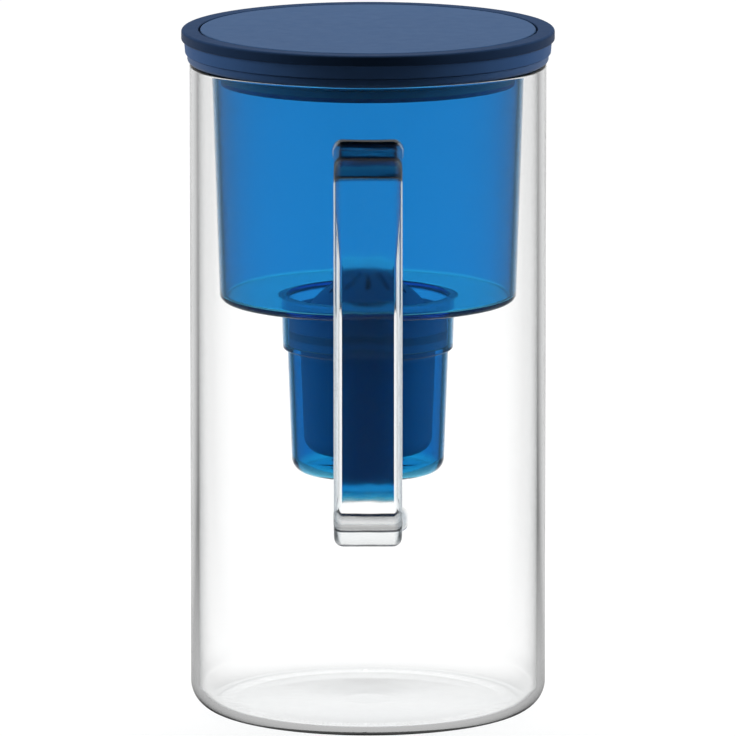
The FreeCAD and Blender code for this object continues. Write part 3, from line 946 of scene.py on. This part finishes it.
@dataclass
class GlassJug:
    """The glass jug with its strap handle, melted together."""

    radius: float
    height: float
    wall: float = 3.0 * MM
    base: float = 3.0 * MM
    base_round: float = 10.0 * MM
    foot_width: float = 6.0 * MM
    foot_round: float = 6.0 * MM
    hollow_depth: float = 0.3 * MM
    hollow_slope: float = 40.0 * MM
    rim_round: float = 1.2 * MM
    strap_width: float = 24.6 * MM
    strap_thickness: float = 8.0 * MM
    strap_round: float = 3.5 * MM
    strap_drop: float = 19.3 * MM
    strap_length: float = 142.2 * MM
    strap_reach: float = 44.0 * MM
    upper_bend: float = 6.0 * MM
    lower_bend: float = 10.0 * MM
    upper_weld: Weld = Weld(26.4 * MM, 10.0 * MM, 0.0)
    lower_weld: Weld = Weld(28.4 * MM, 10.6 * MM, 1.2 * MM)
    weld_length: float = 9.0 * MM
    weld_bite: float = 1.0 * MM
    weld_steps: int = 8
    bend_steps: int = 16

    @classmethod
    def from_frame(cls) -> "GlassJug":
        """Take the radius and height from the frame."""
        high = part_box("glass_jug")[1]
        return cls(radius=high.x, height=high.z)

    def build(self) -> Object:
        """Model the jug and its handle as one glass body.

        Returns:
            The dressed piece.
        """
        jug = self.build_jug()
        Bench.combine(jug, self.build_strap(), Work.JOIN)
        top = self.height - self.strap_drop
        glass = ClearGlass(
            jug_radius=self.radius,
            leg_reach=self.radius + self.strap_reach - self.strap_thickness / 2,
            leg_low=top - self.strap_length + self.strap_thickness,
            leg_high=top - self.strap_thickness,
        )
        return settle(jug, glass, Body.JUG, Slot.CLEAR_GLASS, "glass_jug", "glass_handle")

    def build_jug(self) -> Object:
        """Turn the jug: hollow foot, round base and fire-polished rim.

        Returns:
            The jug.
        """
        bore = self.radius - self.wall
        foot = self.radius - self.base_round - self.foot_width
        return Bench.turned("clear_jug", [
            Corner(0, self.hollow_depth),
            Corner(foot - self.hollow_slope, self.hollow_depth, self.foot_round),
            Corner(foot, 0, self.foot_round),
            Corner(self.radius, 0, self.base_round, 16),
            Corner(self.radius, self.height, self.rim_round, 8),
            Corner(bore, self.height, self.rim_round, 8),
            Corner(bore, self.base, self.base_round - self.wall, 14),
            Corner(0, self.base),
        ])

    def build_strap(self) -> Object:
        """Model the strap: a rounded section pulled out of the glass, bent down, and bent back in.

        Returns:
            The strap.
        """
        strap = Bench.open_plane("strap")
        top = self.height - self.strap_drop - self.strap_thickness / 2
        low = self.height - self.strap_drop - self.strap_length + self.strap_thickness / 2
        side = self.lower_weld.width / 2 + self.lower_weld.shift
        wall = math.sqrt(self.radius ** 2 - side ** 2) - self.weld_bite
        out = self.radius + self.strap_reach - self.strap_thickness / 2
        end = self.radius + self.weld_length
        bpy.ops.transform.resize(value=(self.strap_width / MM, self.strap_thickness / MM, 1))
        Bench.round_points(self.strap_round, 8)
        bpy.ops.mesh.select_all(action="SELECT")
        bpy.ops.transform.rotate(value=QUARTER_TURN, orient_axis="X", center_override=(0, 0, 0))
        bpy.ops.transform.translate(value=(0, -wall, top))
        shares = [index / self.weld_steps for index in range(self.weld_steps + 1)]
        self.flare(self.upper_weld, Vector((0, -wall, top)), 1.0, 0.0)
        for last, share in zip(shares, shares[1:]):
            self.pull((wall - end) / self.weld_steps)
            self.flare(self.upper_weld, Vector((0, -wall + (wall - end) * share, top)), last, share)
        self.pull(end - (out - self.upper_bend))
        self.bend(Vector((0, self.upper_bend - out, top - self.upper_bend)))
        drop = low + self.lower_bend - (top - self.upper_bend)
        bpy.ops.mesh.extrude_region_move(TRANSFORM_OT_translate={"value": (0, 0, drop)})
        self.bend(Vector((0, self.lower_bend - out, low + self.lower_bend)))
        self.pull(out - self.lower_bend - end)
        shares.reverse()
        for last, share in zip(shares, shares[1:]):
            self.pull((end - wall) / self.weld_steps)
            self.flare(self.lower_weld, Vector((0, -wall + (wall - end) * share, low)), last, share)
        return Bench.finish(strap)

    def section(self, weld: Weld, share: float) -> tuple[float, float, float]:
        """Section of the strap at a weld.

        Args:
            weld: The weld.
            share: How far along the weld it is, from 0 at the glass to 1 at the strap.

        Returns:
            The width, the height and the shift to the right.
        """
        swell = (1.0 - share) ** 2
        width = self.strap_width + (weld.width - self.strap_width) * swell
        return width, self.strap_thickness + (weld.height - self.strap_thickness) * swell, weld.shift * swell

    def pull(self, distance: float) -> None:
        """Extrude the open end of the strap along Y."""
        bpy.ops.mesh.extrude_region_move(TRANSFORM_OT_translate={"value": (0, distance, 0)})

    def flare(self, weld: Weld, middle: Vector, last: float, share: float) -> None:
        """Change the open end of the strap from one share of a weld to another.

        Args:
            weld: The weld.
            middle: The middle of the strap there.
            last: The share that the end has the section of.
            share: The share whose section it gets.
        """
        width, height, shift = self.section(weld, last)
        next_width, next_height, next_shift = self.section(weld, share)
        aside = middle + Vector((shift, 0, 0))
        bpy.ops.transform.resize(value=(next_width / width, 1, next_height / height), center_override=aside)
        bpy.ops.transform.translate(value=(next_shift - shift, 0, 0))

    def bend(self, centre: Vector) -> None:
        """Spin the open end of the strap a quarter turn down or back."""
        bpy.ops.mesh.spin(steps=self.bend_steps, angle=-QUARTER_TURN, center=centre, axis=(1, 0, 0))


@dataclass
class Funnel:
    """The blue funnel that hangs on the rim and holds the cartridge in its cup."""

    low: float
    top: float
    flange_radius: float
    glass_radius: float
    flange_thickness: float = 3.4 * MM
    gap: float = 8.0 * MM
    draw_in: float = 2.9 * MM
    depth: float = 87.2 * MM
    wall: float = 2.0 * MM
    floor: float = 2.0 * MM
    corner: float = 2.4 * MM
    collar_radius: float = 31.6 * MM
    collar_draw_in: float = 0.5 * MM
    collar_depth: float = 18.3 * MM
    cup_step: float = 1.7 * MM
    cup_draw_in: float = 1.7 * MM
    cup_wall: float = 1.8 * MM
    cup_corner: float = 5.0 * MM
    slot_count: int = 8
    slot_width: float = 2.4 * MM
    slot_inner: float = 8.0 * MM
    slot_outer: float = 17.0 * MM
    slot_depth: float = 4.0 * MM
    cup_edge: float = 0.5 * MM
    collar_edge: float = 0.75 * MM
    collar_fillet: float = 1.5 * MM
    neck_fillet: float = 0.6 * MM
    flange_round: float = 1.5 * MM
    top_edge: float = 0.5 * MM
    hole_edge: float = 0.4 * MM
    seat_edge: float = 0.3 * MM
    pour_angle: float = 46.0
    pour_inset: float = 0.2 * MM

    @classmethod
    def from_frame(cls) -> "Funnel":
        """Take the heights and the flange's radius from the frame."""
        low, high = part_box("funnel")
        return cls(low=low.z, top=high.z, flange_radius=high.x, glass_radius=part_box("glass_jug")[1].x)

    def build(self) -> Object:
        """Turn the funnel and cut its pour gap and its outlet slots.

        Returns:
            The dressed piece.
        """
        rim = self.top - self.flange_thickness
        bowl = self.glass_radius - self.gap
        under = rim - self.depth
        step = under - self.collar_depth
        collar_low = self.collar_radius - self.collar_draw_in
        cup = collar_low - self.cup_step
        cup_low = cup - self.cup_draw_in
        funnel = Bench.turned("blue_funnel", [
            Corner(0, self.low),
            Corner(cup_low, self.low, self.cup_corner, 10),
            Corner(cup, step, self.cup_edge),
            Corner(collar_low, step, self.collar_edge),
            Corner(self.collar_radius, under, self.collar_fillet),
            Corner(bowl - self.draw_in, under, self.corner, 10),
            Corner(bowl, rim, self.neck_fillet),
            Corner(self.flange_radius, rim, self.flange_round, 8),
            Corner(self.flange_radius, self.top, self.top_edge),
            Corner(bowl - self.wall, self.top, self.top_edge),
            Corner(bowl - self.wall, rim),
            Corner(bowl - self.draw_in - self.wall, under + self.floor, self.corner - self.wall / 2, 8),
            Corner(self.collar_radius - self.cup_wall, under + self.floor, self.hole_edge),
            Corner(collar_low - self.cup_wall, step + self.cup_wall, self.seat_edge),
            Corner(cup - self.cup_wall, step + self.cup_wall, self.seat_edge),
            Corner(cup_low - self.cup_wall, self.low + self.cup_wall, self.cup_corner - self.cup_wall / 2, 8),
            Corner(0, self.low + self.cup_wall),
        ])
        Bench.combine(funnel, self.pour_wedge(bowl + self.pour_inset, rim), Work.CUT)
        bars = Bench.slot_ring(
            self.slot_inner, self.slot_outer, self.slot_width, self.low - PAST, self.low + self.slot_depth,
            self.slot_count)
        Bench.combine(funnel, bars, Work.CUT)
        plastic = TintedPlastic(rim_height=rim, cup_height=step)
        return settle(funnel, plastic, Body.FUNNEL, Slot.BLUE_PLASTIC, "funnel")

    def pour_wedge(self, inner: float, rim: float) -> Object:
        """Model the sector that is cut out of the flange over the pour side.

        Args:
            inner: The gap's inner radius.
            rim: Height of the flange's underside.

        Returns:
            The sector.
        """
        wedge = Bench.open_plane("pour_wedge")
        reach = self.flange_radius + 2 * PAST - inner
        height = self.top - rim + 2 * PAST
        half = math.radians(self.pour_angle) / 2
        bpy.ops.transform.resize(value=(reach / MM, height / MM, 1))
        bpy.ops.transform.rotate(value=QUARTER_TURN, orient_axis="X", center_override=(0, 0, 0))
        bpy.ops.transform.translate(value=(inner + reach / 2, 0, (self.top + rim) / 2))
        bpy.ops.transform.rotate(value=-(QUARTER_TURN - half), orient_axis="Z", center_override=(0, 0, 0))
        bpy.ops.mesh.spin(steps=24, angle=-2 * half, center=(0, 0, 0), axis=(0, 0, 1))
        return Bench.finish(wedge)


@dataclass
class Lid:
    """The lid: its body with a plug, the disc let into its top, and the soft gasket."""

    radius: float
    top: float
    plug_low: float
    seat: float
    bore: float
    rim_height: float = 3.9 * MM
    rim_step: float = 1.0 * MM
    skirt_inset: float = 1.4 * MM
    wall: float = 2.2 * MM
    border: float = 6.2 * MM
    disc_gap: float = 0.7 * MM
    disc_thickness: float = 2.2 * MM
    plug_radius: float = 53.6 * MM
    plug_wall: float = 2.6 * MM
    groove: float = 0.9 * MM
    gasket_rise: float = 1.6 * MM
    gasket_height: float = 5.4 * MM
    gasket_lip: float = 0.8 * MM
    edge: float = 0.5 * MM
    rim_edge: float = 1.0 * MM
    step_edge: float = 0.2 * MM
    seat_edge: float = 0.3 * MM
    ceiling_fillet: float = 1.0 * MM
    lip_edge: float = 0.3 * MM
    lip_fillet: float = 0.15 * MM

    @classmethod
    def from_frame(cls) -> "Lid":
        """Take the outer sizes, the seat and the gasket's reach from the frame."""
        low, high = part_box("lid_body")
        return cls(
            radius=high.x, top=high.z, plug_low=low.z, seat=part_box("funnel")[1].z, bore=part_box("lid_gasket")[1].x)

    def build(self) -> list[Object]:
        """Model the body, the disc and the gasket.

        Returns:
            The dressed pieces.
        """
        return [self.build_body(), self.build_disc(), self.build_gasket()]

    def build_body(self) -> Object:
        """Turn the body: border, rim band, sloping skirt and grooved plug.

        Returns:
            The dressed piece.
        """
        recess = self.radius - self.border
        floor = self.top - self.disc_thickness
        ceiling = floor - self.wall
        skirt = self.radius - self.skirt_inset
        rim_low = self.top - self.rim_height
        low = self.plug_low + self.gasket_rise
        body = Bench.turned("navy_lid", [
            Corner(0, floor),
            Corner(recess, floor),
            Corner(recess, self.top, self.edge),
            Corner(self.radius, self.top, self.rim_edge, 8),
            Corner(self.radius, rim_low, self.edge),
            Corner(self.radius - self.rim_step, rim_low, self.step_edge),
            Corner(skirt, self.seat, self.seat_edge),
            Corner(skirt - self.wall, self.seat, self.seat_edge),
            Corner(skirt - self.wall, ceiling, self.edge),
            Corner(self.plug_radius, ceiling, self.edge),
            Corner(self.plug_radius, low + self.gasket_height),
            Corner(self.plug_radius - self.groove, low + self.gasket_height),
            Corner(self.plug_radius - self.groove, low),
            Corner(self.plug_radius, low),
            Corner(self.plug_radius, self.plug_low, self.edge),
            Corner(self.plug_radius - self.plug_wall, self.plug_low, self.edge),
            Corner(self.plug_radius - self.plug_wall, ceiling, self.ceiling_fillet),
            Corner(0, ceiling),
        ])
        # Painted shade on the lid's top and rim band, painted light on its skirt.
        finish = ShadePaintedPlastic(
            "navy_plastic", dark=(0.022, 0.053, 0.13), light=(0.028, 0.066, 0.155), smooth=0.42, rough=0.54,
            shine=0.05, band_low=rim_low)
        return settle(body, finish, Body.LID, Slot.NAVY_PLASTIC, "lid_body")

    def build_disc(self) -> Object:
        """Turn the flat disc that is let into the top.

        Returns:
            The dressed piece.
        """
        recess = self.radius - self.border
        floor = self.top - self.disc_thickness
        disc = Bench.turned("navy_lid_disc", [
            Corner(0, floor),
            Corner(recess - self.disc_gap, floor),
            Corner(recess - self.disc_gap, self.top, self.edge),
            Corner(0, self.top),
        ])
        finish = SatinPlastic(
            "navy_disc", dark=(0.036, 0.08, 0.175), light=(0.044, 0.095, 0.2), smooth=0.40, rough=0.50, shine=0.1)
        return settle(disc, finish, Body.LID, Slot.NAVY_DISC, "lid_top_disc")

    def build_gasket(self) -> Object:
        """Turn the soft ring with its two lips.

        Returns:
            The dressed piece.
        """
        low = self.plug_low + self.gasket_rise
        middle = low + self.gasket_height / 2
        high = low + self.gasket_height
        inner = self.plug_radius - self.groove
        gasket = Bench.turned("soft_gasket", [
            Corner(inner, low),
            Corner(self.plug_radius, low),
            Corner(self.bore, middle - self.gasket_lip, self.lip_edge, 4),
            Corner(self.bore, middle, self.lip_edge, 4),
            Corner(self.plug_radius, middle, self.lip_fillet, 3),
            Corner(self.bore, high - self.gasket_lip, self.lip_edge, 4),
            Corner(self.bore, high, self.lip_edge, 4),
            Corner(inner, high),
        ], closed=True)
        finish = SatinPlastic(
            "gasket_silicone", dark=(0.22, 0.24, 0.29), light=(0.26, 0.29, 0.34), smooth=0.5, rough=0.6,
            shine=0.4, grain_size=0.6 * MM)
        return settle(gasket, finish, Body.LID, Slot.GASKET, "lid_gasket")


@dataclass
class Cartridge:
    """The filter cartridge: domed head, lip seal and tapered shell."""

    head_low: float
    dome_top: float
    head_radius: float
    seal_radius: float
    shell_low: float
    shell_top: float
    shell_radius: float
    head_height: float = 13.2 * MM
    shoulder: float = 2.9 * MM
    head_wall: float = 1.8 * MM
    head_bore: float = 25.3 * MM
    groove: float = 0.9 * MM
    seal_rise: float = 3.0 * MM
    seal_height: float = 3.0 * MM
    seal_lip: float = 1.0 * MM
    shell_draw_in: float = 2.0 * MM
    shell_wall: float = 1.5 * MM
    shell_corner: float = 6.0 * MM
    shoulder_edge: float = 1.2 * MM
    head_edge: float = 0.4 * MM
    seal_fillet: float = 0.1 * MM
    seal_edge: float = 0.2 * MM
    shell_edge: float = 0.3 * MM
    inlet_count: int = 12
    inlet_inner: float = 6.5 * MM
    inlet_outer: float = 15.0 * MM
    inlet_width: float = 1.8 * MM
    inlet_rise: float = 1.0 * MM
    outlet_count: int = 8
    outlet_inner: float = 5.0 * MM
    outlet_outer: float = 13.5 * MM
    outlet_width: float = 2.0 * MM
    outlet_depth: float = 3.0 * MM

    @classmethod
    def from_frame(cls) -> "Cartridge":
        """Take the outer sizes of the head, the seal and the shell from the frame.

        Returns:
            The cartridge.
        """
        head_low, head_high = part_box("cartridge_head")
        shell_low, shell_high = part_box("cartridge_shell")
        return cls(
            head_low=head_low.z, dome_top=head_high.z, head_radius=head_high.x,
            seal_radius=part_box("cartridge_seal")[1].x, shell_low=shell_low.z, shell_top=shell_high.z,
            shell_radius=shell_high.x)

    def build(self) -> list[Object]:
        """Model the head, the seal and the shell.

        Returns:
            The dressed pieces.
        """
        return [self.build_head(), self.build_seal(), self.build_shell()]

    def finish(self) -> SatinPlastic:
        """The dark plastic of the head and the shell."""
        return SatinPlastic(
            "cartridge_plastic", dark=(0.06, 0.18, 0.33), light=(0.075, 0.215, 0.38), shine=0.05)

    def build_head(self) -> Object:
        """Turn the head and cut its inlet slots.

        Returns:
            The dressed piece.
        """
        top = self.head_low + self.head_height
        dome = self.head_radius - self.shoulder
        centre = self.dome_top - dome
        foot = math.sqrt(dome ** 2 - (top - centre) ** 2)
        ceiling = top - self.head_wall
        inner_dome = dome - self.head_wall
        inner_foot = math.sqrt(inner_dome ** 2 - (ceiling - centre) ** 2)
        seal_low = self.head_low + self.seal_rise
        seal_top = seal_low + self.seal_height
        head = Bench.turned("cartridge_dome", [
            Corner(0, self.dome_top),
            Sweep(foot, top, centre),
            Corner(self.head_radius, top, self.shoulder_edge),
            Corner(self.head_radius, seal_top),
            Corner(self.head_radius - self.groove, seal_top),
            Corner(self.head_radius - self.groove, seal_low),
            Corner(self.head_radius, seal_low),
            Corner(self.head_radius, self.head_low, self.head_edge),
            Corner(self.head_bore, self.head_low),
            Corner(self.head_bore, ceiling),
            Corner(inner_foot, ceiling),
            Sweep(0, centre + inner_dome, centre),
        ])
        bars = Bench.slot_ring(
            self.inlet_inner, self.inlet_outer, self.inlet_width, ceiling + self.inlet_rise,
            self.dome_top + PAST, self.inlet_count)
        Bench.combine(head, bars, Work.CUT)
        return settle(head, self.finish(), Body.CARTRIDGE, Slot.CARTRIDGE, "cartridge_head")

    def build_seal(self) -> Object:
        """Turn the lip seal round the head.

        Returns:
            The dressed piece.
        """
        low = self.head_low + self.seal_rise
        high = low + self.seal_height
        inner = self.head_radius - self.groove
        seal = Bench.turned("lip_seal", [
            Corner(inner, low),
            Corner(self.head_radius, low),
            Corner(self.seal_radius, high - self.seal_lip, self.seal_fillet, 3),
            Corner(self.seal_radius, high, self.seal_edge, 4),
            Corner(inner, high),
        ], closed=True)
        finish = SatinPlastic(
            "seal_rubber", dark=(0.04, 0.12, 0.22), light=(0.05, 0.14, 0.25), smooth=0.55, rough=0.65,
            shine=0.3, grain_size=0.6 * MM)
        return settle(seal, finish, Body.CARTRIDGE, Slot.SEAL, "cartridge_seal")

    def build_shell(self) -> Object:
        """Turn the shell and cut its outlet slots.

        Returns:
            The dressed piece.
        """
        low_radius = self.shell_radius - self.shell_draw_in
        shell = Bench.turned("cartridge_cup", [
            Corner(0, self.shell_low),
            Corner(low_radius, self.shell_low, self.shell_corner, 10),
            Corner(self.shell_radius, self.shell_top, self.shell_edge),
            Corner(self.shell_radius - self.shell_wall, self.shell_top, self.shell_edge),
            Corner(low_radius - self.shell_wall, self.shell_low + self.shell_wall,
                   self.shell_corner - self.shell_wall, 8),
            Corner(0, self.shell_low + self.shell_wall),
        ])
        bars = Bench.slot_ring(
            self.outlet_inner, self.outlet_outer, self.outlet_width, self.shell_low - PAST,
            self.shell_low + self.outlet_depth, self.outlet_count)
        Bench.combine(shell, bars, Work.CUT)
        return settle(shell, self.finish(), Body.CARTRIDGE, Slot.CARTRIDGE, "cartridge_shell")


@dataclass
class FilterBed:
    """What fills the cartridge: screens, felt, carbon and resin, whose frame solids are kept."""

    nodes: dict[str, Object]

    def build(self) -> list[Object]:
        """Dress each layer of the bed.

        Returns:
            The dressed nodes.
        """
        screen = MeshCloth("screen_mesh", thread=(0.62, 0.64, 0.65), hole=(0.12, 0.13, 0.14))
        finishes: dict[str, Finish] = {
            "inlet_screen": screen,
            "outlet_screen": screen,
            "divider_felt": Fibres("white_felt", dark=(0.62, 0.62, 0.58), light=(0.82, 0.82, 0.78)),
            "carbon_bed": Grains(
                "carbon_granules", dark=(0.006, 0.006, 0.007), light=(0.03, 0.03, 0.032), grain=1.2 * MM,
                roughness=0.55),
            "resin_bed": Grains(
                "resin_beads", dark=(0.42, 0.24, 0.06), light=(0.66, 0.43, 0.16), grain=0.8 * MM, roughness=0.3),
        }
        for name, finish in finishes.items():
            layer = self.nodes[name]
            layer.data.materials.clear()
            layer.data.materials.append(finish.material())
        return [self.nodes[name] for name in finishes]


@dataclass(frozen=True)
class SoftBox:
    """A soft lamp that points at the pitcher.

    Args:
        name: The lamp's name.
        place: Where it hangs.
        size: Its width and height.
        power: Its power in watts.
    """

    name: str
    place: Place
    size: tuple[float, float]
    power: float


@dataclass
class Studio:
    """The floor, the light and the camera."""

    aim: float = 125.6 * MM
    distance: float = 4.5
    pitch: float = 10.0
    lens: float = 601.9
    floor_size: float = 24.0
    ambient: float = 0.05
    in_front: float = 0.06
    wall_in_glass: float = 0.15
    foot_in_glass: float = 0.55
    foot_near: float = 0.12
    foot_far: float = 0.4
    twice_mirrored: float = 0.3
    wall_behind: float = 0.34
    floor_behind: float = 0.8
    foot_view: float = 25 * MM
    sweep_full: float = 0.95
    sweep_end: float = 0.8
    sweep_top: float = 0.25
    sweep_fade: float = 0.2
    gloss_front: float = -0.3
    gloss_back: float = 1.0
    glow_at_foot: float = 0.76
    glow_far: float = 1.0
    glow_start: float = 0.1
    glow_end: float = 2.5
    floor_dark: float = 0.22
    floor_pale: float = 0.25
    boxes: tuple[SoftBox, ...] = (
        SoftBox("top_box", (0.0, 0.5, 1.5), (1.2, 1.2), 22.0),
        SoftBox("left_box", (-1.3, 0.2, 0.5), (0.5, 1.2), 16.0),
        SoftBox("right_box", (1.3, 0.2, 0.5), (0.5, 1.2), 16.0),
    )

    def build(self) -> None:
        """Set up the stage."""
        self.build_world()
        self.build_floor()
        self.build_lamps()
        self.build_camera()
        bpy.context.scene.view_settings.view_transform = "Standard"

    def seen_directly(self, recipe: Recipe) -> Socket:
        """1 for rays from the camera, off a gloss or through glass, and 0 for the rest."""
        path = recipe.add("LightPath").outputs
        return recipe.largest(path["Is Camera Ray"], path["Is Glossy Ray"], path["Is Transmission Ray"])

    def mirrored(self, recipe: Recipe, behind: float, around: Number, outward: Socket) -> Socket:
        """How bright the studio is in a mirror.

        Args:
            recipe: The material or world that is seen.
            behind: How bright it is in a gloss, right behind the pitcher.
            around: How bright it is in glass, away from the sweep.
            outward: The direction in which a place lies, seen from the pitcher.

        Returns:
            The strength, with a white sweep behind for what glass mirrors.
        """
        heading = recipe.add("SeparateXYZ", Vector=outward)
        back, rise = heading.outputs["Y"], heading.outputs["Z"]
        gloss = recipe.between(back, self.in_front, behind, self.gloss_front, self.gloss_back)
        sweep = recipe.between(back, around, 1.0, self.sweep_end, self.sweep_full)
        low = recipe.between(rise, 1.0, around, self.sweep_top, self.sweep_top + self.sweep_fade)
        path = recipe.add("LightPath").outputs
        through = path["Is Transmission Ray"]
        once = recipe.between(path["Glossy Depth"], 1.0, self.twice_mirrored, 1.0, 2.0)
        glass = recipe.times(recipe.times(sweep, low), recipe.times(once, through))
        return recipe.largest(recipe.times(gloss, recipe.between(through, 1.0, 0.0)), glass)

    def from_foot(self, recipe: Recipe) -> Socket:
        """The direction of a place on the floor, seen from low on the pitcher."""
        below = recipe.add("Mapping", Vector=recipe.place(), Location=(0.0, 0.0, -self.foot_view))
        return recipe.add("VectorMath", {"operation": "NORMALIZE"}, Vector=below.outputs[0]).outputs[0]

    def bounced(self, recipe: Recipe) -> Socket:
        """1 for rays that were mirrored on their way, and 0 for straight ones."""
        return recipe.between(recipe.add("LightPath").outputs["Glossy Depth"], 0.0, 1.0)

    def build_world(self) -> None:
        """A white sweep for what is seen, a dimmer room in mirrors, and a plain grey surround for light."""
        recipe = Recipe(bpy.data.worlds.new("studio"), "OutputWorld")
        soft = recipe.add("Background", Color=WHITE, Strength=self.ambient)
        white = recipe.add("Background", Color=WHITE, Strength=1.0)
        outward = recipe.add("TexCoord").outputs["Generated"]
        mirrored = self.mirrored(recipe, self.wall_behind, self.wall_in_glass, outward)
        room = recipe.add("Background", Color=WHITE, Strength=mirrored)
        seen = recipe.blend(self.bounced(recipe), white, room)
        bpy.context.scene.world = recipe.surface(recipe.blend(self.seen_directly(recipe), soft, seen))

    def build_floor(self) -> None:
        """A wide white floor that keeps a faint shadow."""
        bpy.ops.object.select_all(action="DESELECT")
        bpy.ops.mesh.primitive_plane_add(size=self.floor_size)
        floor = bpy.context.object
        floor.name = "studio_floor"
        recipe = Recipe.named("studio_floor")
        reach = recipe.add("VectorMath", {"operation": "LENGTH"}, Vector=recipe.place()).outputs["Value"]
        glowing = recipe.between(reach, self.glow_at_foot, self.glow_far, self.glow_start, self.glow_end)
        dark = recipe.add("BsdfDiffuse", Color=(*[self.floor_dark] * 3, 1.0))
        pale = recipe.add("BsdfDiffuse", Color=(*[self.floor_pale] * 3, 1.0))
        glow = recipe.add("Emission", Color=WHITE, Strength=glowing)
        around = recipe.between(reach, self.foot_in_glass, self.wall_in_glass, self.foot_near, self.foot_far)
        mirrored = self.mirrored(recipe, self.floor_behind, around, self.from_foot(recipe))
        room = recipe.add("Emission", Color=WHITE, Strength=mirrored)
        lit = recipe.add("AddShader")
        recipe.feed(lit.inputs[0], pale.outputs[0])
        recipe.feed(lit.inputs[1], glow.outputs[0])
        seen = recipe.blend(self.bounced(recipe), lit, room)
        floor.data.materials.append(recipe.surface(recipe.blend(self.seen_directly(recipe), dark, seen)))

    def build_lamps(self) -> None:
        """Hang the soft boxes, which light the pitcher and aren't seen, not in its gloss or glass either."""
        for box in self.boxes:
            lamp = bpy.data.lights.new(box.name, "AREA")
            lamp.shape = "RECTANGLE"
            lamp.size, lamp.size_y = box.size
            lamp.energy = box.power
            hung = bpy.data.objects.new(box.name, lamp)
            bpy.context.scene.collection.objects.link(hung)
            hung.location = box.place
            look = Vector((0, 0, self.aim)) - Vector(box.place)
            hung.rotation_euler = look.to_track_quat("-Z", "Y").to_euler()
            hung.visible_camera = False
            hung.visible_glossy = False
            hung.visible_transmission = False

    def build_camera(self) -> None:
        """A long lens on the handle's side, a little above."""
        camera = bpy.data.cameras.new("camera")
        camera.lens = self.lens
        camera.clip_end = 100.0
        seat = bpy.data.objects.new("camera", camera)
        bpy.context.scene.collection.objects.link(seat)
        tilt = math.radians(self.pitch)
        seat.location = (0, -self.distance * math.cos(tilt), self.aim + self.distance * math.sin(tilt))
        seat.rotation_euler = (QUARTER_TURN - tilt, 0, 0)
        bpy.context.scene.camera = seat


def main() -> None:
    """Build every sub-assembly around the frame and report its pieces."""
    logging.basicConfig(level=logging.INFO, format="%(name)s: %(message)s")
    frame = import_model()
    pieces = [GlassJug.from_frame().build(), Funnel.from_frame().build()]
    pieces += Lid.from_frame().build()
    pieces += Cartridge.from_frame().build()
    pieces += FilterBed(frame["nodes"]).build()
    for piece in pieces:
        log.info("%s: %d faces", piece.name, len(piece.data.polygons))
    Studio().build()


if __name__ == "__main__":
    main()
